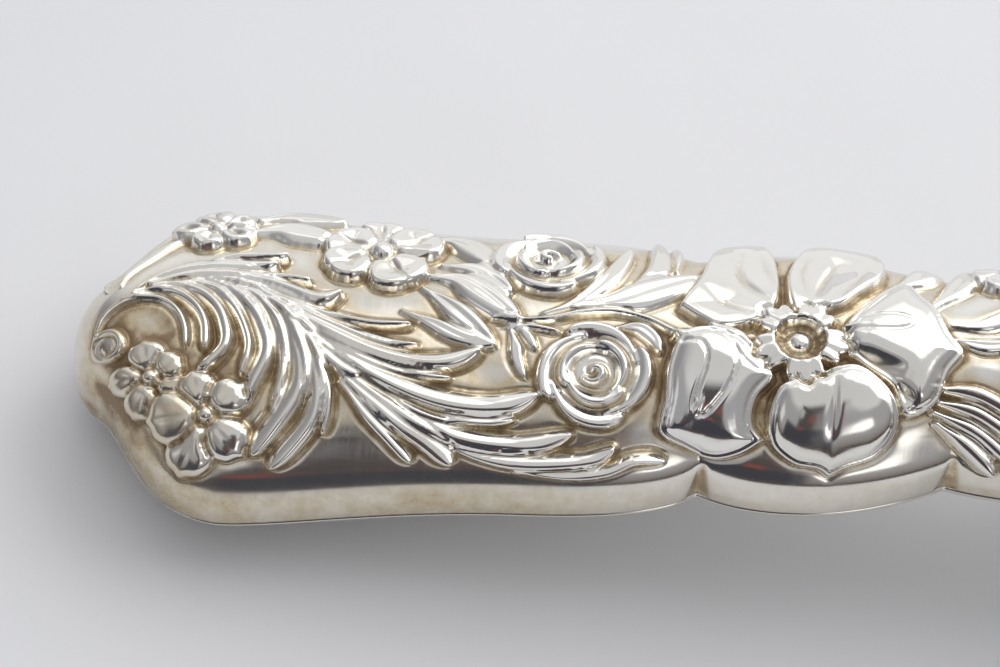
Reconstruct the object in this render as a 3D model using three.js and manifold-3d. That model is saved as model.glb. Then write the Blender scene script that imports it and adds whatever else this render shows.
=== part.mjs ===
// A vanity hairbrush with a stamped silver back, standing on its bristle tips and on the end of
// its drooping handle. Millimetres, +X towards the head, +Z up, decorated back upwards.
// The back and the top of the handle are one thin sheet. A plain under shell closes the handle, a
// bezel closes the head and holds the drilled bristle board, and pitch cement and a steel tang
// fill and stiffen the hollow.

import * as THREE from 'three';
import { mergeVertices } from 'three/addons/utils/BufferGeometryUtils.js';
import Module from 'manifold-3d';

const wasm = await Module();
wasm.setup();

// ---------- driving dimensions ----------

const SHEET = 0.8; // thickness of the silver sheet
const GAP = 0.3; // room left between pieces that meet

const BRISTLE_FREE = 16.5; // bristle tips to the face of the board
const BOARD_PROUD = 2.5; // the board's face below the seam of the back
const SEAM_HEIGHT = BRISTLE_FREE + BOARD_PROUD;

const NECK_END = 111; // stations along the length, from the butt's tip
const BEND_START = 88;
const DROOP = THREE.MathUtils.degToRad(8.8); // the handle's slope below the neck

const HEAD_CENTRE = 171.5;
const HEAD_END = 233;
const BEZEL = { a: 58.5, b: 37, wall: 0.9, bottom: -1.9, top: 1.5 };
const PLATE = { bottom: -1.1, top: -0.3, inset: 0.25 };
const BOARD = { a: 57.3, b: 35.8, bottom: -BOARD_PROUD, top: 1.7 };
const COVER = { a: 54.5, b: 33, bottom: 2.8, top: 4.2 };
const CEMENT_FLOOR = 4.5;

const ROWS = 11;
const ROW_PITCH = 5.9;
const TUFT_PITCH = 6.4;
const FIELD = { a: 52, b: 31 }; // the oval that holds the centres of the tufts
const TUFT = { root: 1, tip: 1.7, hole: 1.5, sides: 6 };
const WIRE = { width: 0.7, height: 0.6 };

const TANG = { start: 28, end: 140, halfWidth: 4, bottom: 5, top: 6.8 };
const PIN = { count: 6, a: 55.3, b: 33.7, shank: 0.45, hole: 0.8, head: 1.2, headHeight: 0.6, length: 4 };

const LOWER_DEPTH = 0.42; // depth of the under shell as a share of the crest's height

// ---------- the plan: half of the outline, from the butt's tip to the end of the head ----------

// Each lobe ends in a cusp, where the chased border is pinched in.
const outline = new THREE.Path();
outline.moveTo(0, 0);
outline.bezierCurveTo(0, 3.2, 0.9, 4.6, 3, 6.1); // rounded nose
outline.bezierCurveTo(6, 8, 7.6, 15.6, 15.5, 16.5); // hollow flank, up to the shoulder
outline.bezierCurveTo(21, 16.6, 30, 14.5, 42, 14.45); // long lobe
outline.bezierCurveTo(49, 14.42, 55, 14, 58.1, 11.76);
outline.bezierCurveTo(60.6, 13, 63.5, 13.4, 67, 13.38); // middle lobe
outline.bezierCurveTo(71.5, 13.35, 76.5, 11.9, 80.1, 10.19);
outline.bezierCurveTo(82.5, 10.9, 86, 11.45, 90, 11.42); // short lobe
outline.bezierCurveTo(94.5, 11.4, 98.8, 10.6, 101.5, 8.9);
outline.bezierCurveTo(106, 9.4, 110.5, 12.8, 114.5, 17.6); // neck
outline.bezierCurveTo(117.5, 21.2, 120.3, 23.6, 124, 24.9);
outline.bezierCurveTo(127.5, 31.5, 143, 39.5, 168, 39.6); // side of the head
outline.bezierCurveTo(186, 39.7, 202, 36.2, 209, 31);
outline.bezierCurveTo(214.5, 30.6, 222.5, 25, 226, 17.6); // corner of the head
outline.bezierCurveTo(230.5, 15.5, HEAD_END, 8, HEAD_END, 0); // end of the head

const smoothstep = THREE.MathUtils.smoothstep;

// Stations along the half outline, each moved inwards by inset, with from 3 to 7 steps to a curve.
function stations(inset, step = 4.5) {
  const found = [];
  const curves = outline.curves;
  curves.forEach((curve, i) => {
    const steps = THREE.MathUtils.clamp(Math.round(curve.getLength() / step), 3, 7);
    for (let k = i ? 1 : 0; k <= steps; k++) {
      const point = curve.getPoint(k / steps);
      const along = curve.getTangent(k / steps);
      const next = curves[i + 1];
      if (k === steps && next) along.add(next.getTangent(0)).normalize();
      found.push({ x: point.x + inset * along.y, w: Math.max(0, point.y - inset * along.x) });
    }
  });
  found[0].w = 0;
  found[found.length - 1].w = 0;
  return found;
}

// The stations between two places along the length, with a new one at each end that cuts a step.
function between(found, start, end) {
  const cutAt = (x) => {
    const i = found.findIndex((s) => s.x > x);
    if (i < 1) return [];
    const [a, b] = [found[i - 1], found[i]];
    return [{ x, w: THREE.MathUtils.mapLinear(x, a.x, b.x, a.w, b.w) }];
  };
  const inside = found.filter((s) => s.x > start + 0.4 && s.x < end - 0.4);
  return [...cutAt(start), ...inside, ...cutAt(end)];
}

// ---------- the profile: how high the back stands above the seam ----------

function crest(x) {
  const body = THREE.MathUtils.lerp(10.7 - 0.0165 * x, 9.6, smoothstep(x, 95, 140));
  const butt = Math.min(Math.max(x, 0) / 7.8, 1);
  const end = Math.min(Math.max(HEAD_END - x, 0) / 61.5, 1);
  const rise = Math.sqrt(1 - Math.pow(1 - butt, 2.2));
  const fall = x > 150 ? Math.pow(1 - Math.pow(1 - end, 2.4), 1 / 2.4) : 1;
  return body * rise * fall;
}

// The cross-section is an ellipse on the handle and a flatter superellipse on the head.
const power = (x) => 2 + 0.4 * smoothstep(x, 100, 135);

function arc(station, height, sides, down = false) {
  const points = [];
  const exponent = 2 / (down ? 2 : power(station.x));
  for (let j = 0; j <= sides; j++) {
    const angle = (Math.PI * j) / sides;
    const c = Math.cos(angle);
    const s = Math.max(0, Math.sin(angle));
    const y = -station.w * Math.sign(c) * Math.pow(Math.abs(c), exponent);
    const ends = j === 0 || j === sides;
    points.push([station.x, y, ends ? 0 : (down ? -height : height) * Math.pow(s, exponent)]);
  }
  return points;
}

function underDepth(x) {
  return THREE.MathUtils.lerp(LOWER_DEPTH * crest(x), 1.5, smoothstep(x, 92, NECK_END));
}

// ---------- placing: the handle bends down from the neck ----------

function place([x, y, z]) {
  const radius = (NECK_END - BEND_START) / DROOP;
  const back = NECK_END - x;
  const turn = THREE.MathUtils.clamp(back / radius, 0, DROOP);
  const straight = Math.max(0, back - radius * DROOP);
  const ahead = Math.min(back, 0);
  return new THREE.Vector3(
    NECK_END - ahead - radius * Math.sin(turn) - straight * Math.cos(turn) - z * Math.sin(turn),
    y,
    SEAM_HEIGHT - radius * (1 - Math.cos(turn)) - straight * Math.sin(turn) + z * Math.cos(turn),
  );
}

// ---------- closed meshes ----------

// Six times the volume that the triangles enclose, negative if they face inwards.
function signedVolume(points, triangles) {
  const corner = (i) => points[i];
  const part = ([a, b, c]) => corner(a).dot(corner(b).clone().cross(corner(c)));
  return triangles.reduce((sum, triangle) => sum + part(triangle), 0);
}

function closedGeometry(points, triangles) {
  const outward = signedVolume(points, triangles) > 0;
  const facing = outward ? triangles : triangles.map(([a, b, c]) => [a, c, b]);
  const raw = new THREE.BufferGeometry().setFromPoints(points);
  raw.setIndex(facing.flat());
  const merged = mergeVertices(raw, 1e-4);
  const index = merged.index.array;
  const kept = [];
  for (let i = 0; i < index.length; i += 3) {
    const [a, b, c] = index.subarray(i, i + 3);
    if (a !== b && b !== c && a !== c) kept.push(a, b, c);
  }
  merged.setIndex(kept);
  return merged;
}

// A solid through rings of points: the ends are closed by fans, unless they are drawn to a point.
function loft(rings) {
  const count = rings[0].length;
  const points = rings.flat().map(place);
  const triangles = [];
  for (let i = 0; i + 1 < rings.length; i++) {
    for (let j = 0; j < count; j++) {
      const a = i * count + j;
      const b = i * count + ((j + 1) % count);
      triangles.push([a, a + count, b], [b, a + count, b + count]);
    }
  }
  const last = (rings.length - 1) * count;
  for (let j = 1; j + 1 < count; j++) {
    triangles.push([0, j, j + 1], [last, last + j + 1, last + j]);
  }
  return closedGeometry(points, triangles);
}

// A thin sheet between an outer and an inner grid of points, closed along its four edges.
function sheet(outer, inner) {
  const columns = outer[0].length;
  const rows = outer.length;
  const points = [...outer.flat(), ...inner.flat()].map(place);
  const under = rows * columns;
  const triangles = [];
  const quad = (a, b, c, d) => triangles.push([a, b, c], [a, c, d]);
  for (let i = 0; i + 1 < rows; i++) {
    for (let j = 0; j + 1 < columns; j++) {
      const a = i * columns + j;
      quad(a, a + columns, a + columns + 1, a + 1);
      quad(a + under, a + under + 1, a + under + columns + 1, a + under + columns);
    }
    const near = i * columns;
    const far = near + columns - 1;
    quad(near, near + under, near + under + columns, near + columns);
    quad(far, far + columns, far + under + columns, far + under);
  }
  const last = (rows - 1) * columns;
  for (let j = 0; j + 1 < columns; j++) {
    quad(j, j + 1, j + under + 1, j + under);
    quad(last + j, last + j + under, last + j + under + 1, last + j + 1);
  }
  return closedGeometry(points, triangles);
}

function toSolid(geometry) {
  const plain = geometry.clone();
  plain.deleteAttribute('normal');
  plain.deleteAttribute('uv');
  const merged = mergeVertices(plain, 1e-4);
  const make = (triVerts) =>
    new wasm.Manifold(
      new wasm.Mesh({ numProp: 3, vertProperties: merged.attributes.position.array, triVerts }),
    );
  const triVerts = new Uint32Array(merged.index.array);
  return make(triVerts);
}

function fromSolid(solid) {
  const { vertProperties, triVerts, numProp } = solid.getMesh();
  const points = [];
  for (let i = 0; i < vertProperties.length; i += numProp) {
    points.push(new THREE.Vector3().fromArray(vertProperties, i));
  }
  return new THREE.BufferGeometry().setFromPoints(points).setIndex([...triVerts]);
}

// ---------- materials ----------

const metal = (color, roughness) =>
  new THREE.MeshStandardMaterial({ color, roughness, metalness: 1 });
const plain = (color, roughness) =>
  new THREE.MeshStandardMaterial({ color, roughness, metalness: 0 });
const silver = metal(0xe9e4d8, 0.2);
const steel = metal(0x8d9094, 0.45);
const brass = metal(0xc9a24a, 0.35);
const ebony = plain(0x2b1a12, 0.4);
const pine = plain(0xb48a5c, 0.8);
const pitch = plain(0x3a332c, 0.9);
const bristle = plain(0xd8c7a0, 0.7);

const brush = new THREE.Group();

function add(name, geometry, material) {
  const mesh = new THREE.Mesh(geometry, material);
  mesh.name = name;
  brush.add(mesh);
  return mesh;
}

// ---------- silver ----------

const BACK_SIDES = 12;
const UNDER_SIDES = 8;

function backShell() {
  const grid = (inset) =>
    stations(inset).map((s) => arc(s, Math.max(0, crest(s.x) - inset), BACK_SIDES));
  return sheet(grid(0), grid(SHEET));
}

// The under shell runs to the neck, a small gap below the edge of the back.
function underShell() {
  const drop = (points) => points.map(([x, y, z]) => [x, y, z - GAP / 2]);
  const grid = (inset) =>
    between(stations(inset), -1, NECK_END).map((s) =>
      drop(arc(s, Math.max(0, underDepth(s.x) - inset), UNDER_SIDES, true)),
    );
  return sheet(grid(0), grid(SHEET));
}

const ellipse = (a, b, steps = 64) => {
  const points = [];
  for (let i = 0; i < steps; i++) {
    const angle = (2 * Math.PI * i) / steps;
    points.push(new THREE.Vector2(HEAD_CENTRE + a * Math.cos(angle), b * Math.sin(angle)));
  }
  return points;
};

// A flat plate of any outline between two heights above the seam of the head.
function plate(points, bottom, top, holes = []) {
  const shape = new THREE.Shape(points);
  shape.holes = holes.map((hole) => new THREE.Path(hole));
  const geometry = new THREE.ExtrudeGeometry(shape, { depth: top - bottom, bevelEnabled: false });
  return geometry.translate(0, 0, SEAM_HEIGHT + bottom);
}

function headBezel() {
  const side = between(stations(PLATE.inset), NECK_END + GAP, HEAD_END).map(
    (s) => new THREE.Vector2(s.x, s.w),
  );
  const mirrored = side
    .slice(0, -1)
    .reverse()
    .map((p) => new THREE.Vector2(p.x, -p.y));
  const hole = ellipse(BEZEL.a - BEZEL.wall, BEZEL.b - BEZEL.wall);
  const flat = toSolid(plate([...side, ...mirrored], PLATE.bottom, PLATE.top, [hole]));
  const collar = toSolid(plate(ellipse(BEZEL.a, BEZEL.b), BEZEL.bottom, BEZEL.top, [hole]));
  return fromSolid(flat.add(collar));
}

add('back_shell', backShell(), silver);
add('handle_under_shell', underShell(), silver);
add('head_bezel', headBezel(), silver);

// ---------- what fills the hollow ----------

// A steel tang through the neck, as a bar that follows the bend.
function bar(grow) {
  const rings = [];
  const { start, end, halfWidth, bottom, top } = TANG;
  const steps = 14;
  for (let i = 0; i <= steps; i++) {
    const x = THREE.MathUtils.lerp(start - grow, end + grow, i / steps);
    const y = halfWidth + grow;
    rings.push([
      [x, -y, bottom - grow],
      [x, y, bottom - grow],
      [x, y, top + grow],
      [x, -y, top + grow],
    ]);
  }
  return loft(rings);
}

const room = SHEET + GAP;

function handleCore() {
  const rings = between(stations(room), -1, NECK_END - 1).map((s) => {
    const upper = arc(s, Math.max(0, crest(s.x) - room), BACK_SIDES);
    const lower = arc(s, Math.max(0.1, underDepth(s.x) - room), UNDER_SIDES, true);
    const base = s.w > 0 ? lower.slice(1, -1).reverse() : lower.slice(1, -1).map(() => upper[0]);
    return [...upper, ...base];
  });
  return fromSolid(toSolid(loft(rings)).subtract(toSolid(bar(GAP))));
}

function headCement() {
  const rings = between(stations(room), NECK_END + 1, HEAD_END).map((s) =>
    arc(s, Math.max(0, crest(s.x) - room), BACK_SIDES),
  );
  const box = new THREE.BoxGeometry(200, 100, 40);
  box.translate(NECK_END + 100, 0, SEAM_HEIGHT + CEMENT_FLOOR + 20);
  return fromSolid(toSolid(loft(rings)).intersect(toSolid(box)).subtract(toSolid(bar(GAP))));
}

add('stiffening_tang', bar(0), steel);
add('handle_cement', handleCore(), pitch);
add('head_cement', headCement(), pitch);

// ---------- boards, tufts and pins ----------

// Centres of one row's tufts. Neighbouring rows have odd and even counts, so the tufts stagger.
function tuftCentres(row) {
  const y = (row - (ROWS - 1) / 2) * ROW_PITCH;
  const half = FIELD.a * Math.sqrt(1 - (y / FIELD.b) ** 2);
  let count = Math.floor((2 * half) / TUFT_PITCH) + 1;
  if (count % 2 !== (row + 1 - (ROWS - 1) / 2 + ROWS - 1) % 2) count -= 1;
  const centres = [];
  for (let i = 0; i < count; i++) {
    centres.push({ x: HEAD_CENTRE + (i - (count - 1) / 2) * TUFT_PITCH, y });
  }
  return centres;
}

const rows = Array.from({ length: ROWS }, (_, i) => tuftCentres(i));

const pinCentres = Array.from({ length: PIN.count }, (_, i) => {
  const angle = (Math.PI * (2 * i + 1)) / PIN.count;
  return { x: HEAD_CENTRE + PIN.a * Math.cos(angle), y: PIN.b * Math.sin(angle) };
});

const circle = ({ x, y }, radius, sides) =>
  Array.from({ length: sides }, (_, i) => {
    const angle = (2 * Math.PI * i) / sides;
    return new THREE.Vector2(x + radius * Math.cos(angle), y + radius * Math.sin(angle));
  });

const tuftHoles = rows.flat().map((centre) => circle(centre, TUFT.hole, TUFT.sides));
const pinHoles = pinCentres.map((centre) => circle(centre, PIN.hole, TUFT.sides));
const boardHoles = [...tuftHoles, ...pinHoles];

add('bristle_board', plate(ellipse(BOARD.a, BOARD.b), BOARD.bottom, BOARD.top, boardHoles), ebony);
add('cover_board', plate(ellipse(COVER.a, COVER.b), COVER.bottom, COVER.top), pine);

// An upright rod between two heights above the floor, as a THREE.CylinderGeometry along Z.
function upright({ x, y }, bottomRadius, topRadius, bottom, top, sides) {
  const rod = new THREE.CylinderGeometry(topRadius, bottomRadius, top - bottom, sides);
  rod.rotateX(Math.PI / 2).rotateZ(Math.PI / 2);
  return rod.translate(x, y, (bottom + top) / 2);
}

// A row of tufts, each one doubled over the drawing wire that runs along the back of the board.
function bristleRow(centres) {
  const wireBottom = SEAM_HEIGHT + BOARD.top + GAP / 2;
  const tuftTop = wireBottom + WIRE.height / 2;
  const first = centres[0];
  const last = centres[centres.length - 1];
  const wire = new THREE.BoxGeometry(last.x - first.x, WIRE.width, WIRE.height);
  wire.translate((first.x + last.x) / 2, first.y, wireBottom + WIRE.height / 2);
  return centres
    .map((centre) => toSolid(upright(centre, TUFT.tip, TUFT.root, 0, tuftTop, TUFT.sides)))
    .reduce((all, tuft) => all.add(tuft), toSolid(wire));
}

rows.forEach((centres, i) => {
  const name = `bristle_row_${String(i + 1).padStart(2, '0')}`;
  add(name, fromSolid(bristleRow(centres)), bristle);
});

pinCentres.forEach((centre, i) => {
  const face = SEAM_HEIGHT + BOARD.bottom;
  const headTop = face - GAP / 2;
  const shank = upright(centre, PIN.shank, PIN.shank, headTop - 0.1, headTop + PIN.length, 6);
  const head = upright(centre, PIN.head / 2, PIN.head, headTop - PIN.headHeight, headTop, 8);
  add(`board_pin_${i + 1}`, fromSolid(toSolid(shank).add(toSolid(head))), brass);
});

// The origin is under the middle of the brush, on the surface that it stands on.
const box = new THREE.Box3().setFromObject(brush);
brush.children.forEach((mesh) => mesh.geometry.translate(-(box.min.x + box.max.x) / 2, 0, 0));

export default brush;
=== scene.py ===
"""A vanity hairbrush with a chased silver back: the looks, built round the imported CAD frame.

The back and the top of the handle are one sheet of silver. Its smooth shape is the CAD's own, and
its flowers, scrolls and leaves are a height field that is laid on that shape in millimetres: x runs
along the brush from the tip of the butt, and s runs over the top, from the crest to either edge.
"""

import math

import bmesh
import bpy
import numpy as np
from mathutils import Matrix, Vector

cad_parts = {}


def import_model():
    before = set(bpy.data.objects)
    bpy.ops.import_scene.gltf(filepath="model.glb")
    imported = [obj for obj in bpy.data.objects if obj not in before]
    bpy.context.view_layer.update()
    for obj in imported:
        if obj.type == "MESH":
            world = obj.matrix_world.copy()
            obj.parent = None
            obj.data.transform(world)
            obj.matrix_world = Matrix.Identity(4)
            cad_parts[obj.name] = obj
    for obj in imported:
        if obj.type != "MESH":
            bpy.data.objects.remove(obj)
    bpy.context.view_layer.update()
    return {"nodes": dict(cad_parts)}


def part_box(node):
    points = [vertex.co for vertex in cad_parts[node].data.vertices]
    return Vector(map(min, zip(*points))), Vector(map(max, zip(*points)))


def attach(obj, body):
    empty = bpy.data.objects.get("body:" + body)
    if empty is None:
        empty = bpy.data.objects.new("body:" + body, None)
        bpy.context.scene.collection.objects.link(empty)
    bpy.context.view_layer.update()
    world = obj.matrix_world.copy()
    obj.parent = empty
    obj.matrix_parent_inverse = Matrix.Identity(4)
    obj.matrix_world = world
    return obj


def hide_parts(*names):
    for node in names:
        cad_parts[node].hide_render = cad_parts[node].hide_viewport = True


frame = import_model()

MM = 0.001
ROOT = "root"

# ---------- the shape that the CAD gives, in millimetres ----------

HEAD_END = 233.0
NECK_END = 111.0
BEND_START = 88.0
DROOP = math.radians(8.8)
HEAD_CENTRE = 171.5
BOARD_PROUD = 2.5
SHEET = 0.8
LOWER_DEPTH = 0.42
HALF_GAP = 0.15

BOARD_LOW, BOARD_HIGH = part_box("bristle_board")
SEAM_HEIGHT = BOARD_LOW[2] / MM + BOARD_PROUD
SHIFT = (BOARD_LOW[0] + BOARD_HIGH[0]) / 2 / MM - HEAD_CENTRE

# Half of the outline as Bezier curves, from the tip of the butt to the end of the head.
OUTLINE = [
    [(0, 0), (0, 3.2), (0.9, 4.6), (3, 6.1)],  # rounded nose
    [(3, 6.1), (6, 8), (7.6, 15.6), (15.5, 16.5)],  # hollow flank, up to the shoulder
    [(15.5, 16.5), (21, 16.6), (30, 14.5), (42, 14.45)],  # long lobe
    [(42, 14.45), (49, 14.42), (55, 14), (58.1, 11.76)],
    [(58.1, 11.76), (60.6, 13), (63.5, 13.4), (67, 13.38)],  # middle lobe
    [(67, 13.38), (71.5, 13.35), (76.5, 11.9), (80.1, 10.19)],
    [(80.1, 10.19), (82.5, 10.9), (86, 11.45), (90, 11.42)],  # short lobe
    [(90, 11.42), (94.5, 11.4), (98.8, 10.6), (101.5, 8.9)],
    [(101.5, 8.9), (106, 9.4), (110.5, 12.8), (114.5, 17.6)],  # neck
    [(114.5, 17.6), (117.5, 21.2), (120.3, 23.6), (124, 24.9)],
    [(124, 24.9), (127.5, 31.5), (143, 39.5), (168, 39.6)],  # side of the head
    [(168, 39.6), (186, 39.7), (202, 36.2), (209, 31)],
    [(209, 31), (214.5, 30.6), (222.5, 25), (226, 17.6)],  # corner of the head
    [(226, 17.6), (230.5, 15.5), (HEAD_END, 8), (HEAD_END, 0)],  # end of the head
]


def smoothstep(x, low, high):
    t = np.clip((x - low) / (high - low), 0, 1)
    return t * t * (3 - 2 * t)


def bezier(corners, steps=200):
    a, b, c, d = (np.array(p, float) for p in corners)
    t = np.linspace(0, 1, steps)[:, None]
    return (1 - t) ** 3 * a + 3 * (1 - t) ** 2 * t * b + 3 * (1 - t) * t**2 * c + t**3 * d


HALF_OUTLINE = np.vstack([bezier(curve) for curve in OUTLINE])


def half_width(x):
    return np.interp(x, HALF_OUTLINE[:, 0], HALF_OUTLINE[:, 1])


SOFT_X = np.linspace(0, HEAD_END, 1200)
SOFT_REACH = 15  # how many steps the softened outline is averaged over
SOFT_WEIGHTS = np.hanning(2 * SOFT_REACH + 1) / SOFT_REACH
SOFT_WIDTH = np.convolve(np.pad(half_width(SOFT_X), SOFT_REACH, mode="edge"), SOFT_WEIGHTS, "valid")


def lobed_width(x, angle):
    """The half width, with the pinches between lobes fading out towards the crest."""
    share = smoothstep(np.sin(angle), 0.2, 0.75) * smoothstep(x, 40, 50) * smoothstep(x, 116, 108)
    return half_width(x) * (1 - share) + np.interp(x, SOFT_X, SOFT_WIDTH) * share


def crest(x):
    """Height of the back above the seam."""
    blend = smoothstep(x, 95, 140)
    body = (10.7 - 0.0165 * x) * (1 - blend) + 9.6 * blend
    butt = np.clip(x / 7.8, 0, 1)
    end = np.clip((HEAD_END - x) / 61.5, 0, 1)
    rise = np.sqrt(np.maximum(0, 1 - (1 - butt) ** 2.2))
    fall = np.where(x > 150, np.maximum(0, 1 - (1 - end) ** 2.4) ** (1 / 2.4), 1)
    return body * rise * fall


def under_depth(x):
    blend = smoothstep(x, 92, NECK_END)
    return LOWER_DEPTH * crest(x) * (1 - blend) + 1.5 * blend


def squareness(x):
    """The section's exponent: an ellipse along the handle and a little fuller on the head."""
    return 2 / (2 + 0.4 * smoothstep(x, 100, 135))


def section(x, angle, width, height, exponent):
    """Points on a half superellipse across the brush, from the near edge at angle 0."""
    c, s = np.cos(angle), np.clip(np.sin(angle), 0, None)
    y = -width * np.sign(c) * np.abs(c) ** exponent
    return np.stack(np.broadcast_arrays(x, y, height * s**exponent), axis=-1)


def top_of(x, angle):
    return section(x, angle, lobed_width(x, angle), crest(x), squareness(x))


def place(points):
    """Bends the handle down from the neck and moves the brush to its place in the frame, in metres."""
    x, y, z = points[..., 0], points[..., 1], points[..., 2]
    radius = (NECK_END - BEND_START) / DROOP
    back = NECK_END - x
    turn = np.clip(back / radius, 0, DROOP)
    straight = np.maximum(0, back - radius * DROOP)
    ahead = np.minimum(back, 0)
    sin, cos = np.sin(turn), np.cos(turn)
    px = NECK_END - ahead - radius * sin - straight * cos - z * sin + SHIFT
    pz = SEAM_HEIGHT - radius * (1 - cos) - straight * sin + z * cos
    return np.stack([px, y, pz], axis=-1) * MM


# ---------- meshes ----------


def add_object(name, data):
    made = bpy.data.objects.new(name, data)
    bpy.context.collection.objects.link(made)
    return made


def finished(name, mesh, material, smooth=True, sharp=None):
    """An object of a mesh, in one material. Edges that turn more than `sharp` degrees stay sharp."""
    mesh.materials.clear()
    mesh.materials.append(material)
    if smooth:
        mesh.shade_smooth()
    if sharp is not None:
        mesh.set_sharp_from_angle(angle=math.radians(sharp))
    mesh.update()
    return add_object(name, mesh)


def mesh_object(name, points, faces, material, smooth=True, sharp=None):
    mesh = bpy.data.meshes.new(name)
    mesh.from_pydata(np.asarray(points).tolist(), [], faces)
    return finished(name, mesh, material, smooth, sharp)


def turn_outward(mesh, weld=0.0):
    """Makes all normals point out of a closed mesh, after welding corners nearer than `weld`."""
    bm = bmesh.new()
    bm.from_mesh(mesh)
    if weld:
        bmesh.ops.remove_doubles(bm, verts=bm.verts, dist=weld)
    bmesh.ops.recalc_face_normals(bm, faces=bm.faces)
    bm.to_mesh(mesh)
    bm.free()


def paint(piece, name, values):
    """Gives each corner of a mesh a value that its material reads by name."""
    attribute = piece.data.attributes.new(name, "FLOAT", "POINT")
    attribute.data.foreach_set("value", np.array(values, np.float32))


def stand_for(piece, node):
    """Puts a piece on the one body, in place of a CAD node."""
    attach(piece, ROOT)
    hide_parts(node)


def circle_turns(steps):
    return 2 * math.pi * np.arange(steps) / steps


def band(start, corners, rings, closed=False):
    """Faces between neighbouring rings of corners that are numbered from `start`."""
    faces = []
    for i in range(rings if closed else rings - 1):
        below, above = start + i * corners, start + (i + 1) % rings * corners
        for j in range(corners):
            k = (j + 1) % corners
            faces.append((below + j, below + k, above + k, above + j))
    return faces


def numbered(grid, start):
    """A number for each point of a grid. A row whose points coincide has one number."""
    rows, columns = grid.shape[:2]
    numbers = np.zeros((rows, columns), int)
    points = []
    count = start
    for i in range(rows):
        if np.ptp(grid[i], axis=0).max() < 1e-9:
            numbers[i] = count
            points.append(grid[i, :1])
            count += 1
        else:
            numbers[i] = np.arange(count, count + columns)
            points.append(grid[i])
            count += columns
    return numbers, np.vstack(points)


def quads(numbers):
    return np.stack(
        [numbers[:-1, :-1], numbers[1:, :-1], numbers[1:, 1:], numbers[:-1, 1:]], axis=-1
    ).reshape(-1, 4)


def thin_sheet(outer, inner):
    """Points and faces of a closed sheet between two grids with the same rows."""
    top, top_points = numbered(outer, 0)
    low, low_points = numbered(inner, len(top_points))
    near = np.stack([top[:, 0], low[:, 0]], axis=1)
    far = np.stack([top[:, -1], low[:, -1]], axis=1)
    faces = [quads(top), quads(low)[:, ::-1], quads(near)[:, ::-1], quads(far)]
    kept = []
    for face in np.vstack(faces).tolist():
        distinct = list(dict.fromkeys(face))
        if len(distinct) > 2:
            kept.append(distinct)
    for row in (0, -1):
        ring = [*top[row], *low[row][::-1]]
        distinct = list(dict.fromkeys(int(i) for i in ring))
        if len(distinct) > 4:
            kept.append(distinct[::-1] if row == 0 else distinct)
    return np.vstack([top_points, low_points]), kept


# ---------- the height field ----------

GROUND_DEPTH = 0.5  # how far the chased ground of the handle lies below the plain wall
LOWEST = -0.62  # the sheet keeps some thickness under the deepest cut
HANDLE_STEP = 0.14
HEAD_STEP = 0.3
COLUMNS = 320


def station_list():
    """Places along the brush: close together on the handle, and closest at its two round ends."""
    dx = np.diff(HALF_OUTLINE[:, 0])
    dw = np.diff(HALF_OUTLINE[:, 1])
    x = HALF_OUTLINE[:-1, 0]
    ends = np.where((x < 8) | (x > 224), 1, 0)
    step = HANDLE_STEP + (HEAD_STEP - HANDLE_STEP) * smoothstep(x, 90, 116)
    run = np.concatenate([[0], np.cumsum(np.hypot(dx, dw * ends) / step)])
    return np.interp(np.linspace(0, run[-1], int(run[-1]) + 1), run, HALF_OUTLINE[:, 0])


class Relief:
    """Heights h, stain and cover over a grid of stations x and of distances s, in millimetres."""

    def __init__(self):
        self.stations = station_list()
        fine = np.linspace(0, math.pi, 361)
        rows = []
        for x in self.stations:
            points = top_of(x, fine)
            run = np.concatenate([[0], np.cumsum(np.linalg.norm(np.diff(points, axis=0), axis=1))])
            even = np.linspace(0, run[-1], COLUMNS)
            rows.append((top_of(x, np.interp(even, run, fine)), even - run[-1] / 2))
        self.base = np.array([points for points, _ in rows])
        self.x = self.base[..., 0]
        self.s = np.array([s for _, s in rows])
        self.reach = self.s[:, -1]
        self.share = self.s / np.maximum(self.reach, 0.1)[:, None]  # -1 and 1 at the edges
        spread = 0.4 + 0.05 * self.s + 0.0008 * np.maximum(self.s, 0) ** 3
        spread = np.where(self.s > -8, spread, 0) * smoothstep(self.x, 86, 78)
        self.drawn = self.s + spread  # the drawing narrows on the far side, where the wall falls away
        self.h = np.zeros_like(self.x)
        self.stain = np.zeros_like(self.x)
        self.cover = np.zeros_like(self.x)  # 1 where a motif stands

    def window(self, points, margin):
        """The part of the grid round some points, as slices and its own x and s."""
        low, high = points.min(axis=0) - margin, points.max(axis=0) + margin
        first, last = np.searchsorted(self.stations, [low[0], high[0]])
        first, last = max(first, 1), max(last, first + 2)
        near = (self.drawn[first:last] > low[1]) & (self.drawn[first:last] < high[1])
        columns = np.flatnonzero(near.any(axis=0))
        if not len(columns):
            columns = np.array([0, 1])
        part = np.s_[first:last, columns[0] : columns[-1] + 1]
        return part, self.x[part], self.drawn[part]

    def raise_to(self, part, inside, shape, around):
        """Puts a motif's heights inside its border, and other heights around it."""
        self.h[part] = np.where(inside, shape, around)
        self.cover[part] = np.maximum(self.cover[part], inside)

    def arc(self, x, y):
        """The distance s of a point that is given by its place in the plan."""
        row = min(np.searchsorted(self.stations, x), len(self.stations) - 2)
        return float(np.interp(y, self.base[row, :, 1], self.s[row]))


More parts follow.
